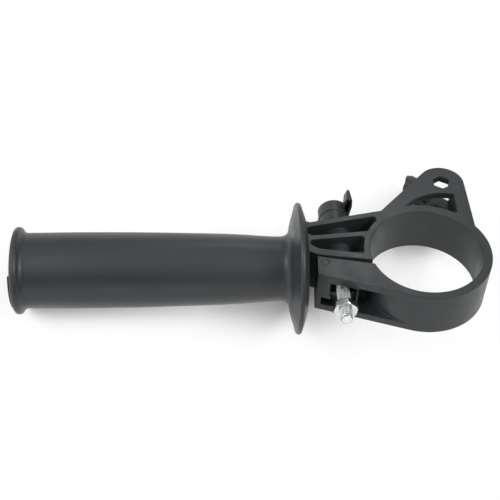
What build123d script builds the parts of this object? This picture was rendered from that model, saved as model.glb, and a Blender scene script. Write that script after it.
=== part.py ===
from build123d import *
import math
import os

# Side handle for a power tool: a ring clamp with two arms, a moulded grip on the rear
# arm, and an ear that guides a hexagonal depth rod.
# Frame: origin at the centre of the clamp bore, +Z along the bore axis, the grip
# running out along -X, +Y towards the ear.  Millimetres.

# Ring clamp
bore_d = 50.0             # tool collar that the ring closes on
ring_wall = 3.5           # at the front of the ring
ring_shift = 0.5          # its outside stands off to the right, away from the slot
strap_width = 22.0        # along Z
plate = 3.4               # the arm and ear plates, top and bottom

# Rear arm, which carries the grip
flange_face_x = -53.2     # where the arm meets the hand guard
arm_root_y = 17.7         # back edge of the arm at that face
arm_back_slope = 12.5     # degrees from X
arm_wall = 2.7            # walls round the two pockets
arm_front_y = -1.9        # front edge of the arm near its left end
arm_front_x = -48.3
arm_front_slope = -8.2
root_flare = 1.9          # the back edge swells into the hand guard
pocket_web = 2.4          # floor between the upper and the lower pockets
pocket_corner = 1.5
rib_y = 8.4               # middle of the rib between the pockets, at the hand guard
rib_slope = 5.6

# Front arm, which flexes towards the rear arm
front_end_x = -49.2       # its free end
slot_left = 1.15          # gap between the arms at that end
slot_right = 2.3          # and at the bore
front_end_depth = 10.7    # from the slot to the front edge at the free end
web_thickness = 3.0

# Clamp bolt, its nut and its wing knob
bolt_x = -37.4
bolt_d = 6.0
bolt_tip_y = -30.4
bolt_head_af = 10.0
bolt_head_h = 4.0
bolt_head_seat = 1.4      # under the head, in the knob
hole_clearance = 0.3      # round the bolt in the arms, on the radius
thread_clearance = 0.05   # bolt to nut and screw to insert, on the radius
nut_af = 10.0
nut_h = 3.2
nut_turn = 21.8           # it sits turned a little, as it was left
nut_back_y = -22.4        # the nut stands off the arm, as the clamp is slack
nut_seat_y = -13.2        # it ends here when the clamp is tight
nut_channel_left = 5.5    # channel walls beside the bolt axis
nut_channel_right = 5.6
nut_channel_z = 6.9       # and above and below it
channel_wall = 0.7        # towards the long pocket
channel_wall_y = -16.8    # that wall stands back from the front edge
core_floor_y = -10.5      # the end block is cored deeper than the nut's seat
core_left = 6.1
core_low_z = -1.3
notch_left = 2.3          # core slot low in the block, from the free end
notch_right = 4.4         # and from the bolt axis
notch_top_z = -3.1
boss_r = 6.8
boss_end_y = 31.2
hub_r = 7.0
hub_len = 6.8
hub_gap = 0.05
wing_reach = 12.9         # wing tip from the bolt axis, along Z
wing_inner = 3.65         # inner and outer face of a wing beside the axis
wing_outer = 7.85
wing_draft = 0.8          # its faces close in by this from front to back
wing_sweep = 1.4          # while it leans outwards by this, less the draft
wing_core_wall = 1.0
wing_core_depth = 3.5

# Ear with the depth rod guide
ear_x = 14.0
ear_y = 44.9
ear_r = 10.5
ear_left_x = -17.0        # where its slanted edge leaves the arm
rod_af = 7.6              # hexagonal hole, corners along Y
crescent_r = 29.3         # inner edge of the lightening opening
crescent_right = 18.4
crescent_corner = 3.0     # rounding at its top right
ear_wall_x = 20.7         # inner face of the wall that closes the right side
ear_wall_end = 50.0
crescent_top = 37.5
crescent_left = -5.2

# Depth rod lock screw
lock_d = 5.0
lock_boss_r = 4.6
lock_boss_start = 4.9     # along the screw axis, from the rod centre
lock_boss_end = 11.4
insert_r = 3.4
insert_len = 5.5
lock_tip = 4.3
lock_gap = 1.0            # hub stands off the boss, as no rod is clamped
lock_hub_r = 4.5
lock_hub_len = 4.8
lock_wing_reach = 7.3
lock_wing_inner = 1.5
lock_wing_outer = 4.1
lock_head_af = 7.0
lock_head_h = 2.6
lock_head_seat = 1.0

# Grip
grip_len = 127.7          # from the hand guard's face to the end face
guard_r = 29.4
guard_rim = 2.4           # thickness of the rim
guard_root = 6.8          # thickness of the guard where it meets the body
guard_face_r = 21.8       # flat face against the arm
waist_r = 14.4            # behind the guard
palm_r = 16.77            # fullest part of the body
bead_r = 19.2             # bead at the free end
bead_w = 5.0

# Inside the grip
tang_len = 80.0
tang_r = 9.6
tang_rib = 3.4
tang_root = 6.0           # round block at the guard
tang_block = 28.0         # round block at the screw
tang_clearance = 0.3
bulkhead = 4.0
end_bore_r = 12.6
screw_d = 5.0
screw_pilot_d = 4.4
screw_len = 30.0
screw_head_r = 5.2
screw_head_h = 3.2
screw_socket_af = 3.0
washer_r = 7.5
washer_h = 1.2

# End plug
plug_head_r = 15.2
plug_head_h = 1.8
plug_skirt_len = 9.0
plug_skirt_wall = 1.6
plug_lip_r = 16.6
plug_lip_h = 1.0
plug_lip_chord = 2.0      # straight edge of the half moon from the centre
plug_clearance = 0.1
lip_turn = 135.0          # the half moon faces down and to the front

# Worked out from the values above
bore_r = bore_d / 2
ring_r = bore_r + ring_wall
ring_centre = Vector(ring_shift, 0, 0)
half = strap_width / 2
inner_half = half - plate
end_face_x = flange_face_x - grip_len
bulkhead_x = flange_face_x - tang_len - tang_clearance
hub_front_y = boss_end_y + hub_gap
guard_x = flange_face_x - 3.2
end_bore_depth = bulkhead_x - bulkhead - end_face_x
lock_hub = lock_boss_end + lock_gap
ear_centre = Vector(ear_x, ear_y, 0)
tang_plane = Plane(origin=(flange_face_x, 0, 0), x_dir=(0, 1, 0), z_dir=(-1, 0, 0))
end_plane = Plane(origin=(end_face_x, 0, 0), x_dir=(0, -1, 0), z_dir=(1, 0, 0))
head_plane = Plane(origin=(bulkhead_x - bulkhead, 0, 0), x_dir=(0, 1, 0), z_dir=(1, 0, 0))
pocket_end_r = bore_r + arm_wall
pocket_left = flange_face_x + 1.0


def back_edge(x):
    """Y of the rear arm's back edge."""
    return arm_root_y + (x - flange_face_x) * math.tan(math.radians(arm_back_slope))


def rib(x):
    """Y of the middle of the rib between the pockets."""
    return rib_y + (x - flange_face_x) * math.tan(math.radians(rib_slope))


def slot_rear(x):
    """Y of the rear arm's edge along the slot."""
    return arm_front_y + (x - arm_front_x) * math.tan(math.radians(arm_front_slope))


def slot_front(x):
    """Y of the front arm's edge along the slot."""
    share = (x - front_end_x) / (-bore_r - front_end_x)
    return slot_rear(x) - slot_left - (slot_right - slot_left) * share


def tangent_point(start, centre, radius, side):
    """Point where the line from start touches a circle; side is 1 for left, -1 for right."""
    away = centre - start
    reach = math.sqrt(away.length ** 2 - radius ** 2)
    turn = math.degrees(math.asin(radius / away.length))
    return start + away.normalized().rotate(Axis.Z, side * turn) * reach


front_corner = Vector(front_end_x, slot_front(front_end_x) - front_end_depth, 0)
front_touch = tangent_point(front_corner, ring_centre, ring_r, -1)
ear_left = Vector(ear_left_x, back_edge(ear_left_x), 0)
ear_touch = tangent_point(ear_left, ear_centre, ear_r, 1)
ear_right_y = math.sqrt(ring_r ** 2 - (ear_x + ear_r - ring_shift) ** 2)
ear_right = Vector(ear_x + ear_r, ear_right_y, 0)
slant = (ear_touch - ear_left).normalized()
lock_axis = slant.rotate(Axis.Z, 90)


def lock_plane(distance):
    """Plane across the lock screw, its local Y pointing up, at a distance from the rod."""
    return Plane(origin=ear_centre + lock_axis * distance, x_dir=-slant, z_dir=lock_axis)


def bolt_plane(y):
    """Plane across the clamp bolt, its local Y pointing up."""
    return Plane(origin=(bolt_x, y, 0), x_dir=(1, 0, 0), z_dir=(0, -1, 0))


def between(low, high):
    """Middle and size of a span."""
    return (low + high) / 2, high - low


os.makedirs("parts", exist_ok=True)


# Clamp strap: ring, both arms, ear, bolt boss and tang in one moulding
with BuildPart() as clamp_strap:
    with BuildSketch(Plane.XY.offset(-half)):
        with Locations(ring_centre):
            Circle(ring_r)
        Polygon(
            (flange_face_x, back_edge(flange_face_x) + root_flare),
            (flange_face_x + 0.6 * root_flare, back_edge(flange_face_x) + 0.75 * root_flare),
            (flange_face_x + 1.5 * root_flare, back_edge(flange_face_x + 1.5 * root_flare)),
            (ear_left.X, ear_left.Y),
            (0, 0),
            (-bore_r + 4, slot_rear(-bore_r + 4)),
            (arm_front_x, arm_front_y),
            (arm_front_x - 1.6, arm_front_y + 0.9),
            (flange_face_x, arm_front_y + 2.6),
            align=None,
        )
        Polygon(
            (front_end_x + 0.6, slot_front(front_end_x + 0.6)),
            (-bore_r + 4, slot_front(-bore_r + 4)),
            (0, 0),
            (front_touch.X, front_touch.Y),
            (front_corner.X, front_corner.Y),
            align=None,
        )
        with BuildLine():
            right_tangent = (ear_x + ear_r, ear_y)
            Line((0, 0), (ear_left.X, ear_left.Y))
            Line((ear_left.X, ear_left.Y), (ear_touch.X, ear_touch.Y))
            ThreePointArc((ear_touch.X, ear_touch.Y), (ear_x, ear_y + ear_r), right_tangent)
            Line(right_tangent, (ear_right.X, ear_right.Y))
            Line((ear_right.X, ear_right.Y), (0, 0))
        make_face()
    extrude(amount=strap_width)

    # Bore, and the slot between the arms
    with BuildSketch(Plane.XY.offset(-half)):
        Circle(bore_r)
        Polygon(
            (front_end_x - 3, slot_rear(front_end_x - 3)),
            (-bore_r + 5, slot_rear(-bore_r + 5)),
            (-bore_r + 5, slot_front(-bore_r + 5)),
            (front_end_x - 3, slot_front(front_end_x - 3)),
            align=None,
        )
    extrude(amount=strap_width, mode=Mode.SUBTRACT)

    # Ear opened between its plates, from the back, leaving a wall on the right
    with BuildSketch(Plane.XY.offset(-inner_half)) as ear_space:
        Polygon(
            (crescent_left + 1, 20),
            (ear_left.X + 2, ear_left.Y + 10),
            (ear_left.X + 6, ear_y + 2 * ear_r),
            (ear_x + 2 * ear_r, ear_y + 2 * ear_r),
            (ear_x + 2 * ear_r, ear_wall_end),
            (ear_wall_x, ear_wall_end),
            (ear_wall_x, 12),
            align=None,
        )
        with Locations(ring_centre):
            Circle(ring_r + 1, mode=Mode.SUBTRACT)
    extrude(amount=2 * inner_half, mode=Mode.SUBTRACT)

    # Lightening opening, one rounded crescent through both plates
    with BuildSketch(Plane.XY.offset(-half)):
        with BuildLine():
            low_left = (crescent_left, math.sqrt(crescent_r ** 2 - crescent_left ** 2))
            low_right = (crescent_right, math.sqrt(crescent_r ** 2 - crescent_right ** 2))
            high_right = (crescent_right, crescent_top - 0.5)
            middle = crescent_r * Vector(0.3, math.sqrt(1 - 0.09))
            ThreePointArc(low_left, (middle.X, middle.Y), low_right)
            Line(low_right, high_right)
            ThreePointArc(high_right, (5.4, crescent_top - 1.2), low_left)
        opening = make_face()
        right_corners = opening.vertices().sort_by(Axis.X)[-2:].sort_by(Axis.Y)
        fillet(right_corners[0], 1.4)
        fillet(right_corners[1], crescent_corner)
    extrude(amount=strap_width, mode=Mode.SUBTRACT)

    # Hexagonal hole for the depth rod
    with BuildSketch(Plane.XY.offset(-half)):
        with Locations((ear_x, ear_y + 0.2)):
            RegularPolygon(rod_af / 2, 6, major_radius=False, rotation=30)
    extrude(amount=strap_width, mode=Mode.SUBTRACT)

    # Two pockets each side of the arm's web, with a rib between them
    for side in (1, -1):
        with BuildSketch(Plane.XY.offset(side * pocket_web / 2)) as rear_pocket:
            Polygon(
                (pocket_left, back_edge(pocket_left) - arm_wall),
                (-ring_r * 0.7, back_edge(-ring_r * 0.7) - arm_wall),
                (-ring_r * 0.7, rib(-ring_r * 0.7) + arm_wall / 2),
                (pocket_left + 2.2, rib(pocket_left) + arm_wall / 2),
                (pocket_left, rib(pocket_left) + arm_wall / 2 + 1.9),
                align=None,
            )
            Circle(pocket_end_r, mode=Mode.SUBTRACT)
            fillet(rear_pocket.vertices(), pocket_corner)
        extrude(amount=side * strap_width, mode=Mode.SUBTRACT)
        with BuildSketch(Plane.XY.offset(side * pocket_web / 2)) as front_pocket:
            Polygon(
                (pocket_left + 1.2, rib(pocket_left) - arm_wall / 2),
                (-bore_r, rib(-bore_r) - arm_wall / 2),
                (-bore_r, slot_rear(-bore_r) + 1.25 * arm_wall),
                (arm_front_x + 1, slot_rear(arm_front_x + 1) + 1.35 * arm_wall),
                (pocket_left + 1.2, slot_rear(arm_front_x) + 2.3 * arm_wall),
                align=None,
            )
            Circle(pocket_end_r, mode=Mode.SUBTRACT)
            fillet(front_pocket.vertices(), pocket_corner)
        extrude(amount=side * strap_width, mode=Mode.SUBTRACT)

    # Nut channel and long pocket, open to the front between the plates
    with BuildSketch(Plane.XY.offset(-nut_channel_z)):
        nut_mid, nut_width = between(bolt_x - nut_channel_left, bolt_x + nut_channel_right)
        with Locations((nut_mid, nut_seat_y)):
            Rectangle(nut_width, 30, align=(Align.CENTER, Align.MAX))
    extrude(amount=2 * nut_channel_z, mode=Mode.SUBTRACT)
    with BuildSketch(Plane.XY.offset(-inner_half)):
        pocket_start = bolt_x + nut_channel_right + channel_wall
        Polygon(
            (pocket_start, slot_front(pocket_start) - web_thickness),
            (-bore_r + 6, slot_front(-bore_r + 6) - web_thickness),
            (0, -bore_r),
            (0, -ring_r - 12),
            (pocket_start, -ring_r - 12),
            align=None,
        )
        with Locations(ring_centre):
            Circle(ring_r, mode=Mode.SUBTRACT)
        wall_mid, wall_width = between(bolt_x + nut_channel_right, pocket_start + 0.5)
        with Locations((wall_mid, channel_wall_y)):
            Rectangle(wall_width, 30, align=(Align.CENTER, Align.MAX))
    extrude(amount=2 * inner_half, mode=Mode.SUBTRACT)

    # End block cored deeper above the nut's middle, and by a slot low beside it
    with BuildSketch(Plane.XY.offset(core_low_z)):
        core_mid, core_width = between(bolt_x - core_left, bolt_x + nut_channel_right)
        with Locations((core_mid, core_floor_y)):
            Rectangle(core_width, 30, align=(Align.CENTER, Align.MAX))
    extrude(amount=nut_channel_z - core_low_z, mode=Mode.SUBTRACT)
    with BuildSketch(Plane.XY.offset(-inner_half)):
        notch_mid, notch_width = between(front_end_x + notch_left, bolt_x - notch_right)
        with Locations((notch_mid, core_floor_y)):
            Rectangle(notch_width, 30, align=(Align.CENTER, Align.MAX))
    extrude(amount=inner_half + notch_top_z, mode=Mode.SUBTRACT)

    # Boss for the bolt, through the pockets and out behind the arm
    with BuildSketch(bolt_plane(boss_end_y)):
        Circle(boss_r)
    extrude(amount=boss_end_y - slot_rear(bolt_x) - 1)
    with BuildSketch(bolt_plane(boss_end_y + 1)):
        Circle(bolt_d / 2 + hole_clearance)
    extrude(amount=boss_end_y - nut_seat_y + 2, mode=Mode.SUBTRACT)

    # Boss for the lock screw, hung from the upper ear plate
    with BuildSketch(lock_plane(lock_boss_start)):
        Circle(lock_boss_r)
        with Locations((0, inner_half / 2)):
            Rectangle(1.3 * lock_boss_r, inner_half + 1)
    extrude(amount=lock_boss_end - lock_boss_start)
    with BuildSketch(lock_plane(0)):
        Circle(lock_d / 2 + hole_clearance)
    extrude(amount=lock_boss_end + 1, mode=Mode.SUBTRACT)
    with BuildSketch(lock_plane(lock_boss_start - 0.5)):
        Circle(insert_r)
    extrude(amount=insert_len + 0.5, mode=Mode.SUBTRACT)

    # Tang inside the grip: crossed ribs with a round block at each end
    with BuildSketch(tang_plane):
        Circle(tang_r)
    extrude(amount=tang_root)
    with BuildSketch(tang_plane.offset(tang_root / 2)):
        Rectangle(2 * tang_r, tang_rib)
        Rectangle(tang_rib, 2 * tang_r)
        Circle(tang_r - 0.4, mode=Mode.INTERSECT)
    extrude(amount=tang_len - tang_root)
    with BuildSketch(tang_plane.offset(tang_len)):
        Circle(tang_r)
    extrude(amount=-tang_block)
    with BuildSketch(tang_plane.offset(tang_len)):
        Circle(screw_pilot_d / 2)
    extrude(amount=2 - tang_block, mode=Mode.SUBTRACT)

clamp_strap.part.label = "clamp_strap"
export_step(clamp_strap.part, "parts/clamp_strap.step")


# Grip: one turned form with the hand guard, the palm swell and the end bead
with BuildPart() as grip:
    with BuildSketch(Plane.XZ):
        with BuildLine():
            face = (flange_face_x, guard_face_r)
            rim_right = (guard_x + guard_rim / 2, guard_r - 1.2)
            rim_left = (guard_x - guard_rim / 2, guard_r - 1.2)
            root = (flange_face_x - guard_root, 18.6)
            waist = (flange_face_x - 11.3, waist_r)
            bead_right = (end_face_x + bead_w - 1.6, bead_r - 1.3)
            bead_left = (end_face_x, bead_r - 2.4)
            Line((flange_face_x, 0), face)
            Spline(face, rim_right, tangents=((-0.25, 1), (-0.35, 1)))
            ThreePointArc(rim_right, (guard_x, guard_r), rim_left)
            Spline(rim_left, root, tangents=((-0.2, -1), (-0.1, -1)))
            Spline(root, waist, tangents=((-0.1, -1), (-1, 0)))
            Spline(
                waist,
                (flange_face_x - 24.5, 0.68 * waist_r + 0.32 * palm_r),
                (flange_face_x - 46.8, 0.28 * waist_r + 0.72 * palm_r),
                (flange_face_x - 80, palm_r - 0.05),
                (flange_face_x - 108, palm_r),
                (end_face_x + bead_w + 0.6, palm_r - 0.1),
                tangents=((-1, 0), (-1, 0)),
            )
            Spline(
                (end_face_x + bead_w + 0.6, palm_r - 0.1),
                bead_right,
                tangents=((-1, 0), (-0.9, 1)),
            )
            ThreePointArc(bead_right, (end_face_x + 0.45 * bead_w, bead_r), bead_left)
            Line(bead_left, (end_face_x, 0))
            Line((end_face_x, 0), (flange_face_x, 0))
        make_face()
    revolve(axis=Axis.X)

    # Bore for the tang, the store at the end, and the bulkhead between them
    with BuildSketch(tang_plane):
        Circle(tang_r + tang_clearance)
    extrude(amount=tang_len + tang_clearance, mode=Mode.SUBTRACT)
    with BuildSketch(tang_plane):
        Circle(screw_d / 2 + hole_clearance)
    extrude(amount=tang_len + tang_clearance + bulkhead + 1, mode=Mode.SUBTRACT)
    with BuildSketch(end_plane):
        Circle(end_bore_r)
    extrude(amount=end_bore_depth, mode=Mode.SUBTRACT)
    with BuildSketch(end_plane):
        Circle(plug_head_r + plug_clearance)
    extrude(amount=plug_head_h, mode=Mode.SUBTRACT)

grip.part.label = "grip"
export_step(grip.part, "parts/grip.step")


# End plug: flush head, a skirt in the bore, and a raised half moon to prise it by
lip_span = 2 * (plug_lip_r - plug_lip_chord)
with BuildPart() as end_plug:
    with BuildSketch(end_plane):
        Circle(plug_head_r)
    extrude(amount=plug_head_h)
    with BuildSketch(end_plane.offset(plug_head_h / 2)):
        Circle(end_bore_r - plug_clearance)
        Circle(end_bore_r - plug_clearance - plug_skirt_wall, mode=Mode.SUBTRACT)
    extrude(amount=plug_skirt_len)
    with BuildSketch(end_plane.offset(plug_head_h / 2)):
        Circle(plug_head_r - 1)
        with Locations(Rotation(0, 0, lip_turn)):
            with Locations((0, -plug_lip_r)):
                Rectangle(2 * plug_lip_r, lip_span, mode=Mode.INTERSECT)
    extrude(amount=-plug_head_h / 2 - plug_lip_h / 2)
    with BuildSketch(end_plane):
        Circle(plug_lip_r)
        with Locations(Rotation(0, 0, lip_turn)):
            with Locations((0, -plug_lip_r)):
                Rectangle(2 * plug_lip_r, lip_span, mode=Mode.INTERSECT)
            with Locations((0, -plug_lip_r - 1)):
                Circle(2.6, mode=Mode.SUBTRACT)
    extrude(amount=-plug_lip_h)

end_plug.part.label = "end_plug"
export_step(end_plug.part, "parts/end_plug.step")


# Screw that draws the tang against the bulkhead, with its washer
with BuildPart() as grip_washer:
    with BuildSketch(head_plane):
        Circle(washer_r)
        Circle(screw_d / 2 + hole_clearance, mode=Mode.SUBTRACT)
    extrude(amount=-washer_h)

grip_washer.part.label = "grip_washer"
export_step(grip_washer.part, "parts/grip_washer.step")

with BuildPart() as grip_screw:
    with BuildSketch(Plane.XZ):
        seat_x = bulkhead_x - bulkhead - washer_h
        with BuildLine():
            Polyline(
                (seat_x + screw_len - 3, 0),
                (seat_x + screw_len - 3, 0.5),
                (seat_x + screw_len - 6, screw_d / 2),
                (seat_x, screw_d / 2),
                (seat_x, screw_head_r),
                (seat_x - 0.4 * screw_head_h, screw_head_r),
            )
            ThreePointArc(
                (seat_x - 0.4 * screw_head_h, screw_head_r),
                (seat_x - 0.8 * screw_head_h, 0.8 * screw_head_r),
                (seat_x - screw_head_h, 0.5 * screw_head_r),
            )
            Line((seat_x - screw_head_h, 0.5 * screw_head_r), (seat_x - screw_head_h, 0))
            Line((seat_x - screw_head_h, 0), (seat_x + screw_len - 3, 0))
        make_face()
    revolve(axis=Axis.X)
    with BuildSketch(head_plane.offset(-washer_h - screw_head_h)):
        RegularPolygon(screw_socket_af / 2, 6, major_radius=False)
    extrude(amount=1.8, mode=Mode.SUBTRACT)

grip_screw.part.label = "grip_screw"
export_step(grip_screw.part, "parts/grip_screw.step")


# Clamp bolt: hexagonal head held in the knob, plain shank of the thread's outer size
with BuildPart() as clamp_bolt:
    with BuildSketch(bolt_plane(hub_front_y + bolt_head_seat)):
        RegularPolygon(bolt_head_af / 2, 6, major_radius=False)
    extrude(amount=-bolt_head_h)
    with BuildSketch(bolt_plane(hub_front_y + bolt_head_seat)):
        Circle(bolt_d / 2 - thread_clearance)
    extrude(amount=hub_front_y + bolt_head_seat - bolt_tip_y)
    chamfer(clamp_bolt.edges().sort_by(Axis.Y)[0], 0.7)

clamp_bolt.part.label = "clamp_bolt"
export_step(clamp_bolt.part, "parts/clamp_bolt.step")


def wing_outline(inner, outer, hub, reach, inset):
    """One wing beside the axis, seen along it; inset draws it smaller, all round."""
    thick = outer - inner
    return Polygon(
        (inner + inset, 0.55 * hub + inset),
        (outer - 0.2 * thick - inset, 0.2 * hub + inset),
        (outer - 0.2 * thick - inset, 0.47 * hub),
        (outer - inset, 0.62 * reach),
        (outer - 0.06 * thick - inset, 0.95 * reach - inset),
        (inner + 0.3 * thick + inset, reach - inset),
        (inner + inset, 0.68 * reach),
        align=None,
    )


# Wing knob moulded on the bolt's head, each wing cored out from the front
with BuildPart() as clamp_knob:
    with BuildSketch(bolt_plane(hub_front_y)):
        Circle(hub_r)
    extrude(amount=-hub_len)
    chamfer(clamp_knob.edges().filter_by(GeomType.CIRCLE).sort_by(Axis.Y)[-1], 0.7)
    for turn in (0, 180):
        with BuildSketch(bolt_plane(hub_front_y + 0.3)):
            with Locations(Rotation(0, 0, turn)):
                wing_outline(wing_inner, wing_outer, hub_r, wing_reach, 0)
        with BuildSketch(bolt_plane(hub_front_y + hub_len - 0.6)):
            with Locations(Rotation(0, 0, turn)):
                wing_outline(wing_inner, wing_outer, hub_r, wing_reach + wing_sweep, wing_draft)
        loft()
    with BuildSketch(bolt_plane(hub_front_y)):
        with PolarLocations(0, 2):
            wing_outline(wing_inner, wing_outer, hub_r, wing_reach, wing_core_wall)
        Circle(hub_r, mode=Mode.SUBTRACT)
    extrude(amount=-wing_core_depth, mode=Mode.SUBTRACT)
    with BuildSketch(bolt_plane(hub_front_y)):
        Circle(bolt_d / 2 + thread_clearance)
    extrude(amount=-bolt_head_seat - 0.5, mode=Mode.SUBTRACT)
    with BuildSketch(bolt_plane(hub_front_y + bolt_head_seat)):
        RegularPolygon(bolt_head_af / 2, 6, major_radius=False)
    extrude(amount=-bolt_head_h, mode=Mode.SUBTRACT)

clamp_knob.part.label = "clamp_knob"
export_step(clamp_knob.part, "parts/clamp_knob.step")


# Hexagonal nut on the bolt
with BuildPart() as clamp_nut:
    with BuildSketch(bolt_plane(nut_back_y)):
        RegularPolygon(nut_af / 2, 6, major_radius=False, rotation=nut_turn)
        Circle(bolt_d / 2, mode=Mode.SUBTRACT)
    extrude(amount=nut_h)
    with BuildSketch(Plane.YZ.offset(bolt_x)) as nut_corner:
        with Locations((nut_back_y - nut_h / 2, 0)):
            Rectangle(nut_h, nut_af / math.sqrt(3), align=(Align.CENTER, Align.MIN))
            chamfer(nut_corner.vertices().group_by(Axis.Z)[-1], nut_h * 0.18, nut_h * 0.3)
    revolve(axis=Axis((bolt_x, 0, 0), (0, 1, 0)), mode=Mode.INTERSECT)

clamp_nut.part.label = "clamp_nut"
export_step(clamp_nut.part, "parts/clamp_nut.step")


# Lock screw, its threaded insert in the ear's boss, and its small wing head
with BuildPart() as lock_insert:
    with BuildSketch(lock_plane(lock_boss_start)):
        Circle(insert_r)
        Circle(lock_d / 2, mode=Mode.SUBTRACT)
    extrude(amount=insert_len)

lock_insert.part.label = "lock_insert"
export_step(lock_insert.part, "parts/lock_insert.step")

with BuildPart() as lock_screw:
    with BuildSketch(lock_plane(lock_tip)):
        Circle(lock_d / 2 - thread_clearance)
    extrude(amount=lock_hub - lock_tip + lock_head_seat)
    with BuildSketch(lock_plane(lock_hub + lock_head_seat)):
        RegularPolygon(lock_head_af / 2, 6, major_radius=False)
    extrude(amount=lock_head_h)

lock_screw.part.label = "lock_screw"
export_step(lock_screw.part, "parts/lock_screw.step")

with BuildPart() as lock_wing:
    with BuildSketch(lock_plane(lock_hub)):
        Circle(lock_hub_r)
    extrude(amount=lock_hub_len)
    with BuildSketch(lock_plane(lock_hub + 0.2)):
        with PolarLocations(0, 2):
            wing_outline(lock_wing_inner, lock_wing_outer, lock_hub_r, lock_wing_reach, 0)
    extrude(amount=lock_hub_len - 0.5)
    with BuildSketch(lock_plane(lock_hub)):
        Circle(lock_d / 2 + thread_clearance)
    extrude(amount=lock_head_seat + 0.5, mode=Mode.SUBTRACT)
    with BuildSketch(lock_plane(lock_hub + lock_head_seat)):
        RegularPolygon(lock_head_af / 2, 6, major_radius=False)
    extrude(amount=lock_head_h, mode=Mode.SUBTRACT)

lock_wing.part.label = "lock_wing"
export_step(lock_wing.part, "parts/lock_wing.step")
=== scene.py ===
"""Looks of the power tool side handle: materials, the bolt's thread, floor, light and camera."""

import math

import bpy
from mathutils import Matrix, Vector


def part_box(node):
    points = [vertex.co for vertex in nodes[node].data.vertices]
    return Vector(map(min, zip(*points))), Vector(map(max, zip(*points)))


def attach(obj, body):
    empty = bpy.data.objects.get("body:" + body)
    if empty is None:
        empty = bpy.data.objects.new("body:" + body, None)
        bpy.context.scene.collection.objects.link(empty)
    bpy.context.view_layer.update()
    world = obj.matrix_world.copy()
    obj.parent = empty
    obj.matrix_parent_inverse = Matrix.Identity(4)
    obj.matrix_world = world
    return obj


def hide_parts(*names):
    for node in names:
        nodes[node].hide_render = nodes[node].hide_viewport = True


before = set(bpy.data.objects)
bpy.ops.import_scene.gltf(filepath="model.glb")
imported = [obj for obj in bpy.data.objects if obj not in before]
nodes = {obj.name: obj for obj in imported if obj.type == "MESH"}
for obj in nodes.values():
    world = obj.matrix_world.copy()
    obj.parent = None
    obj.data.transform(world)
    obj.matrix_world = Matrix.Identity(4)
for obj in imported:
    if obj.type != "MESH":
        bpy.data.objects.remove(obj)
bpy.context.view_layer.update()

MM = 0.001
BOLT_X = -37.4            # the clamp bolt's axis, along Y at z = 0, in mm

# Materials; lengths in mm, noise scales in waves a metre
NOISE_LOW, NOISE_HIGH = 0.3, 0.7    # the range that most of a noise texture lies in
BEVEL_SAMPLES = 6
CLOUD_SCALE = 60
PATCH_SCALE = 130
GRAIN_SCALE = 2600
PLASTIC_SPECULAR = 0.4
PAPER_COLOURS = (0.97, 0.97, 0.97), (0.99, 0.99, 0.99)

# Round ejector mark on the front arm: a groove that rises and falls between these radii, its
# colour darkened as painted shade in the groove
MARK_CENTRE = (-45.6, -6.7, 11)
MARK_OUTER = (1.95, 1.75)
MARK_INNER = (1.35, 1.6)
MARK_DEPTH = 0.25
MARK_PAINTED_SHADE = 0.25

# The bolt's thread in mm, and its hexagonal head inside the knob
CREST_R = 2.95
THREAD_DEPTH = 0.58
PITCH = 1.0
HEAD_FLATS = 9.9
HEAD_HEIGHT = 4.0
THREAD_START = 3.9
POINTS_AROUND = 40
RINGS_A_TURN = 8
GROOVE_GAIN, GROOVE_SET = 1.35, 0.2     # flatten the crests and the roots
END_TAPER, START_TAPER = 0.9, 0.2       # in pitches
# Painted shade: the thread's base colour is darkened between these radii, in its roots
ROOT_OUTER = (2.8, 2.5)
ROOT_INNER = (2.0, 2.3)
ROOT_PAINTED_SHADE = 0.45

# The floor: its normal in the handle's frame, and how much even white is mixed into it
FLOOR_UP = (0.0815, -0.454, 0.887)
GUARD_X = -56.5
GUARD_R = 29.4
FLOOR_SIZE = 6.0          # metres
FLOOR_WHITE = 0.85        # in the open
# Less white close to the handle paints a darker contact shadow on the floor
FLOOR_WHITE_NEAR = 0.0    # where the handle stands close over it
CONTACT_REACH = 40        # mm
CONTACT_CLOSED, CONTACT_OPEN = 0.42, 0.62
CONTACT_SAMPLES = 8

# Soft lights of the studio: azimuth from the back to the right, elevation, tightness, strength
SKY = [
    (0, 90, 6, 0.3),
    (0, 48, 8, 0.75),
    (90, 48, 8, 1.8),
    (90, 52, 110, 17.0),
    (270, 48, 8, 1.4),
    (278, 52, 110, 13.0),
    (0, 12, 10, 0.2),
    (180, 8, 16, 1.6),
    (240, 10, 14, 2.1),
    (300, 12, 10, 1.3),
]
SKY_LEVEL = 0.05

# A soft spot from behind
SPOT_WATTS = 2.9
SPOT_SIZE = 0.1           # metres
SPOT_ANGLE = 15
SPOT_AIM = (-55, -8, 11)
SPOT_WAY = (0.127, 0.69, 0.713)
SPOT_DISTANCE = 0.8       # metres

# The camera as fitted to the photograph
IMAGE_WIDTH = 500
SENSOR_WIDTH = 36.0
FOCAL_PIXELS = 1052.886
CAMERA_PLACE = (-98.5518, -322.6713, 339.2019)
CAMERA_TURN = (
    (0.9989809, 0.0065876, -0.0446517),
    (-0.0360473, 0.7117929, -0.7014638),
    (0.0271617, 0.7023585, 0.7113050),
)


# Shader nodes; these helpers take and return sockets

def new_material(name):
    mat = bpy.data.materials.new(name)
    mat.use_nodes = True
    tree = mat.node_tree
    coords = tree.nodes.new("ShaderNodeTexCoord").outputs["Object"]
    return mat, tree, tree.nodes["Principled BSDF"], coords


def noise(tree, coords, scale, detail, roughness=0.5, stretch=None):
    node = tree.nodes.new("ShaderNodeTexNoise")
    node.inputs["Scale"].default_value = scale
    node.inputs["Detail"].default_value = detail
    node.inputs["Roughness"].default_value = roughness
    if stretch is not None:
        mapping = tree.nodes.new("ShaderNodeMapping")
        mapping.inputs["Scale"].default_value = stretch
        tree.links.new(coords, mapping.inputs["Vector"])
        coords = mapping.outputs[0]
    tree.links.new(coords, node.inputs["Vector"])
    return node.outputs["Fac"]


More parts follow.
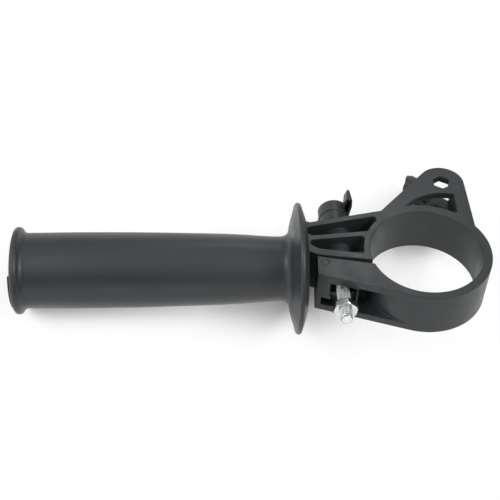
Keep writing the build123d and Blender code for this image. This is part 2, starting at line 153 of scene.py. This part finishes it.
def map_range(tree, source, from_low, from_high, to_low=0.0, to_high=1.0, smooth=False):
    node = tree.nodes.new("ShaderNodeMapRange")
    if smooth:
        node.interpolation_type = "SMOOTHSTEP"
    node.inputs["From Min"].default_value = from_low
    node.inputs["From Max"].default_value = from_high
    node.inputs["To Min"].default_value = to_low
    node.inputs["To Max"].default_value = to_high
    tree.links.new(source, node.inputs["Value"])
    return node.outputs[0]


def math_node(tree, operation, *values):
    """The result of a Math node; each value is a number or a socket."""
    node = tree.nodes.new("ShaderNodeMath")
    node.operation = operation
    for socket, value in zip(node.inputs, values):
        if isinstance(value, bpy.types.NodeSocket):
            tree.links.new(value, socket)
        else:
            socket.default_value = value
    return node.outputs[0]


def mixed_colour(tree, share, first, second):
    node = tree.nodes.new("ShaderNodeMix")
    node.data_type = "RGBA"
    node.inputs["A"].default_value = (*first, 1)
    node.inputs["B"].default_value = (*second, 1)
    tree.links.new(share, node.inputs["Factor"])
    return node.outputs["Result"]


def clouded(tree, source, first, second):
    """Two colours mixed by a noise texture."""
    return mixed_colour(tree, map_range(tree, source, NOISE_LOW, NOISE_HIGH), first, second)


def mixed_shader(tree, share, first, second):
    node = tree.nodes.new("ShaderNodeMixShader")
    for socket, source in zip(node.inputs, (share, first, second)):
        tree.links.new(source, socket)
    return node.outputs[0]


def bevel(tree, radius):
    node = tree.nodes.new("ShaderNodeBevel")
    node.samples = BEVEL_SAMPLES
    node.inputs["Radius"].default_value = radius * MM
    return node.outputs[0]


def bump(tree, height, strength, distance, normal, invert=False):
    node = tree.nodes.new("ShaderNodeBump")
    node.invert = invert
    node.inputs["Strength"].default_value = strength
    node.inputs["Distance"].default_value = distance * MM
    tree.links.new(height, node.inputs["Height"])
    tree.links.new(normal, node.inputs["Normal"])
    return node.outputs[0]


def distance_from(tree, coords, centre, keep):
    """Distance from centre in metres; keep is 1 along the axes that count."""
    for operation, value in (("SUBTRACT", Vector(centre) * MM), ("MULTIPLY", keep)):
        node = tree.nodes.new("ShaderNodeVectorMath")
        node.operation = operation
        node.inputs[1].default_value = value
        tree.links.new(coords, node.inputs[0])
        coords = node.outputs[0]
    size = tree.nodes.new("ShaderNodeVectorMath")
    size.operation = "LENGTH"
    tree.links.new(coords, size.inputs[0])
    return size.outputs["Value"]


def band(tree, distance, outer, inner):
    """1 between two radii and 0 outside them; each edge is (radius at 0, radius at 1)."""
    edges = [map_range(tree, distance, zero * MM, one * MM) for zero, one in (outer, inner)]
    return math_node(tree, "MINIMUM", *edges)


def tinted(mat, mask, share):
    """Scale the base colour down to share where the mask is 1."""
    tree = mat.node_tree
    shader = tree.nodes["Principled BSDF"]
    node = tree.nodes.new("ShaderNodeMix")
    node.data_type = "RGBA"
    node.blend_type = "MULTIPLY"
    node.inputs["B"].default_value = (share, share, share, 1)
    tree.links.new(mask, node.inputs["Factor"])
    tree.links.new(shader.inputs["Base Color"].links[0].from_socket, node.inputs["A"])
    tree.links.new(node.outputs["Result"], shader.inputs["Base Color"])


def seen_directly(tree):
    """1 for camera, glossy and transmission rays, 0 for the light that the stage throws."""
    path = tree.nodes.new("ShaderNodeLightPath")
    last = path.outputs["Is Camera Ray"]
    for name in ("Is Glossy Ray", "Is Transmission Ray"):
        last = math_node(tree, "MAXIMUM", last, path.outputs[name])
    return last


# Materials

def plastic(name, dark, light, rough, grain, edge, stretch=None):
    """Moulded plastic with a fine grain, faint unevenness and softened edges."""
    mat, tree, shader, coords = new_material(name)
    cloud = noise(tree, coords, CLOUD_SCALE, 5, 0.6, stretch)
    tree.links.new(clouded(tree, cloud, dark, light), shader.inputs["Base Color"])
    patches = noise(tree, coords, PATCH_SCALE, 5, 0.6, stretch)
    sheen = map_range(tree, patches, NOISE_LOW, NOISE_HIGH, rough - 0.07, rough + 0.08)
    tree.links.new(sheen, shader.inputs["Roughness"])
    swell = bump(tree, noise(tree, coords, CLOUD_SCALE, 2), 0.10, 0.4, bevel(tree, edge))
    fine = bump(tree, noise(tree, coords, GRAIN_SCALE, 2), grain, 0.06, swell)
    tree.links.new(fine, shader.inputs["Normal"])
    shader.inputs["Specular IOR Level"].default_value = PLASTIC_SPECULAR
    return mat


def metal(name, dark, light, rough, scale, edge):
    """Plated or turned metal with small scratches and uneven sheen."""
    mat, tree, shader, coords = new_material(name)
    cloud = noise(tree, coords, scale, 5, 0.6)
    tree.links.new(clouded(tree, cloud, dark, light), shader.inputs["Base Color"])
    patches = noise(tree, coords, scale * 2.3, 4)
    sheen = map_range(tree, patches, NOISE_LOW, NOISE_HIGH, rough - 0.07, rough + 0.1)
    tree.links.new(sheen, shader.inputs["Roughness"])
    fine = bump(tree, noise(tree, coords, scale * 5, 3), 0.25, 0.05, bevel(tree, edge))
    tree.links.new(fine, shader.inputs["Normal"])
    shader.inputs["Metallic"].default_value = 1.0
    return mat


strap_plastic = plastic(
    "strap_plastic", (0.020, 0.024, 0.026), (0.027, 0.031, 0.032), rough=0.37, grain=0.35, edge=0.7
)
grip_plastic = plastic(
    "grip_plastic", (0.020, 0.023, 0.026), (0.030, 0.033, 0.035), rough=0.37, grain=0.22, edge=0.4,
    stretch=(0.15, 1, 1),
)
plug_plastic = plastic(
    "plug_plastic", (0.003, 0.003, 0.003), (0.005, 0.005, 0.005), rough=0.38, grain=0.2, edge=0.3
)
knob_plastic = plastic(
    "knob_plastic", (0.028, 0.031, 0.033), (0.034, 0.037, 0.039), rough=0.40, grain=0.3, edge=0.4
)
zinc_steel = metal(
    "zinc_steel", (0.60, 0.61, 0.62), (0.82, 0.83, 0.84), rough=0.19, scale=700, edge=0.1
)
thread_steel = metal(
    "thread_steel", (0.74, 0.75, 0.76), (0.92, 0.93, 0.94), rough=0.32, scale=700, edge=0.03
)
insert_brass = metal(
    "insert_brass", (0.70, 0.64, 0.50), (0.84, 0.78, 0.62), rough=0.3, scale=600, edge=0.15
)
wing_plastic = plastic(
    "wing_plastic", (0.050, 0.053, 0.055), (0.060, 0.063, 0.065), rough=0.38, grain=0.3, edge=0.4
)

# The ejector mark on the top of the front arm: a bumped groove, with painted shade darkening the
# base colour in it
tree = strap_plastic.node_tree
coords = tree.nodes["Texture Coordinate"].outputs["Object"]
mark = band(tree, distance_from(tree, coords, MARK_CENTRE, (1, 1, 1)), MARK_OUTER, MARK_INNER)
tinted(strap_plastic, mark, MARK_PAINTED_SHADE)
normal = tree.nodes["Principled BSDF"].inputs["Normal"]
tree.links.new(bump(tree, mark, 1.0, MARK_DEPTH, normal.links[0].from_socket, True), normal)

# Painted shade in the roots of the bolt's thread: the base colour is darkened there
tree = thread_steel.node_tree
coords = tree.nodes["Texture Coordinate"].outputs["Object"]
from_axis = distance_from(tree, coords, (BOLT_X, 0, 0), (1, 0, 1))
tinted(thread_steel, band(tree, from_axis, ROOT_OUTER, ROOT_INNER), ROOT_PAINTED_SHADE)

finishes = {
    "clamp_strap": strap_plastic,
    "grip": grip_plastic,
    "end_plug": plug_plastic,
    "clamp_knob": knob_plastic,
    "lock_wing": wing_plastic,
    "clamp_bolt": zinc_steel,
    "clamp_nut": zinc_steel,
    "lock_screw": zinc_steel,
    "grip_screw": zinc_steel,
    "grip_washer": zinc_steel,
    "lock_insert": insert_brass,
}
for node_name, finish in finishes.items():
    mesh = nodes[node_name].data
    mesh.materials.clear()
    mesh.materials.append(finish)


# The bolt with its thread

def mesh_object(name, verts, faces, to_world):
    mesh = bpy.data.meshes.new(name)
    mesh.from_pydata(verts, [], faces)
    mesh.transform(to_world)
    mesh.update()
    obj = bpy.data.objects.new(name, mesh)
    bpy.context.scene.collection.objects.link(obj)
    return obj


def thread_radius(along, turn, length):
    """Radius in mm at a distance along the thread; turn is the share of the way round."""
    phase = (along / PITCH - turn) % 1.0
    groove = 1 - abs(2 * phase - 1)
    groove = min(1.0, max(0.0, GROOVE_GAIN * groove - GROOVE_SET))
    start = along / (START_TAPER * PITCH) + 0.2
    taper = min(1.0, (length - along) / (END_TAPER * PITCH), start)
    return CREST_R - THREAD_DEPTH * max(groove, 1 - taper)


def threaded_bolt(length):
    """Points and faces in mm of a threaded rod along Z and a hexagonal head below it."""
    rings = int(length / PITCH * RINGS_A_TURN) + 1
    verts = []
    faces = []
    for i in range(rings):
        along = length * i / (rings - 1)
        for k in range(POINTS_AROUND):
            turn = k / POINTS_AROUND
            angle = 2 * math.pi * turn
            r = thread_radius(along, turn, length)
            verts.append((r * math.cos(angle), r * math.sin(angle), THREAD_START + along))
    for i in range(rings - 1):
        for k in range(POINTS_AROUND):
            a = i * POINTS_AROUND + k
            b = i * POINTS_AROUND + (k + 1) % POINTS_AROUND
            faces.append((a, b, b + POINTS_AROUND, a + POINTS_AROUND))
    faces.append(tuple(range(POINTS_AROUND - 1, -1, -1)))
    faces.append(tuple(range((rings - 1) * POINTS_AROUND, rings * POINTS_AROUND)))
    base = len(verts)
    corner = HEAD_FLATS / math.sqrt(3)
    for z in (0.0, HEAD_HEIGHT):
        for k in range(6):
            angle = math.radians(60 * k)
            verts.append((corner * math.cos(angle), corner * math.sin(angle), z))
    faces.append(tuple(base + k for k in range(5, -1, -1)))
    faces.append(tuple(base + 6 + k for k in range(6)))
    for k in range(6):
        n = (k + 1) % 6
        faces.append((base + k, base + n, base + 6 + n, base + 6 + k))
    return verts, faces


bolt_low, bolt_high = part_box("clamp_bolt")
bolt_length = (bolt_high.y - bolt_low.y) / MM
head_place = Matrix.Translation(((bolt_low.x + bolt_high.x) / 2, bolt_high.y, 0))
to_world = head_place @ Matrix.Rotation(math.pi / 2, 4, "X") @ Matrix.Scale(MM, 4)
bolt = mesh_object("bolt_threaded", *threaded_bolt(bolt_length - THREAD_START), to_world)
bolt.data.materials.append(thread_steel)
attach(bolt, "clamp_screw")
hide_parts("clamp_bolt")


# Floor.  The handle lies on its bead, its hand guard and its ear.

up = Vector(FLOOR_UP).normalized()
toward = (Vector((0, -1, 0)) - up * Vector((0, -1, 0)).dot(up)).normalized()
right = up.cross(toward)
stand = Matrix((right, -toward, up)).transposed().to_4x4()
stand.translation = Vector((GUARD_X, 0, 0)) * MM - GUARD_R * MM * up

h = FLOOR_SIZE / 2
corners = [(-h, -h, 0), (h, -h, 0), (h, h, 0), (-h, h, 0)]
floor = mesh_object("floor", corners, [(0, 1, 2, 3)], stand)
floor_mat, tree, shader, coords = new_material("floor_white")
paper = clouded(tree, noise(tree, coords, 8, 2), *PAPER_COLOURS)
tree.links.new(paper, shader.inputs["Base Color"])
shader.inputs["Roughness"].default_value = 0.9
shader.inputs["Specular IOR Level"].default_value = 0.1

# An even white is mixed in, less of it where the handle stands close over the floor: an ambient
# occlusion node paints a darker contact shadow there, over the floor's lit shadow
shine = tree.nodes.new("ShaderNodeEmission")
shine.inputs["Strength"].default_value = 1.0
painted_shadow_ao = tree.nodes.new("ShaderNodeAmbientOcclusion")
painted_shadow_ao.samples = CONTACT_SAMPLES
painted_shadow_ao.inputs["Distance"].default_value = CONTACT_REACH * MM
whiteness = map_range(
    tree, painted_shadow_ao.outputs["AO"], CONTACT_CLOSED, CONTACT_OPEN, FLOOR_WHITE_NEAR, FLOOR_WHITE, True
)
share = math_node(tree, "MULTIPLY", seen_directly(tree), whiteness)
whitened = mixed_shader(tree, share, shader.outputs[0], shine.outputs[0])

# It is see-through from below
clear = tree.nodes.new("ShaderNodeBsdfTransparent")
side = tree.nodes.new("ShaderNodeNewGeometry")
one_sided = mixed_shader(tree, side.outputs["Backfacing"], whitened, clear.outputs[0])
tree.links.new(one_sided, tree.nodes["Material Output"].inputs["Surface"])
floor.data.materials.append(floor_mat)


# The studio has soft lights at the left, right and back, and is dim above the camera

world = bpy.data.worlds.new("studio")
bpy.context.scene.world = world
world.use_nodes = True
tree = world.node_tree
background = tree.nodes["Background"]
background.inputs["Color"].default_value = (1, 1, 1, 1)
way = tree.nodes.new("ShaderNodeTexCoord")
total = SKY_LEVEL
for azimuth, elevation, tightness, strength in SKY:
    a, e = math.radians(azimuth), math.radians(elevation)
    level = right * math.sin(a) - toward * math.cos(a)
    aim = tree.nodes.new("ShaderNodeVectorMath")
    aim.operation = "DOT_PRODUCT"
    aim.inputs[1].default_value = level * math.cos(e) + up * math.sin(e)
    tree.links.new(way.outputs["Generated"], aim.inputs[0])
    lobe = math_node(tree, "MAXIMUM", aim.outputs["Value"], 0.0)
    lobe = math_node(tree, "POWER", lobe, tightness)
    total = math_node(tree, "MULTIPLY_ADD", lobe, strength, total)
tree.links.new(total, background.inputs["Strength"])

# The spot from behind is aimed at the clamp's arms
spot = bpy.data.lights.new("back_spot", "SPOT")
spot.energy = SPOT_WATTS
spot.shadow_soft_size = SPOT_SIZE
spot.spot_size = math.radians(SPOT_ANGLE)
spot.spot_blend = 1.0
back_spot = bpy.data.objects.new("back_spot", spot)
from_aim = Vector(SPOT_WAY).normalized()
back_spot.location = Vector(SPOT_AIM) * MM + from_aim * SPOT_DISTANCE
back_spot.rotation_mode = "QUATERNION"
back_spot.rotation_quaternion = (-from_aim).to_track_quat("-Z", "Y")
bpy.context.scene.collection.objects.link(back_spot)

lens = bpy.data.cameras.new("camera")
lens.sensor_fit = "HORIZONTAL"
lens.sensor_width = SENSOR_WIDTH
lens.lens = FOCAL_PIXELS * SENSOR_WIDTH / IMAGE_WIDTH
lens.clip_start = 0.01
lens.clip_end = 20
camera = bpy.data.objects.new("camera", lens)
turn = Matrix(CAMERA_TURN).to_4x4()
turn.translation = Vector(CAMERA_PLACE) * MM
camera.matrix_world = turn
bpy.context.scene.collection.objects.link(camera)
bpy.context.scene.camera = camera
bpy.context.scene.view_settings.view_transform = "Standard"
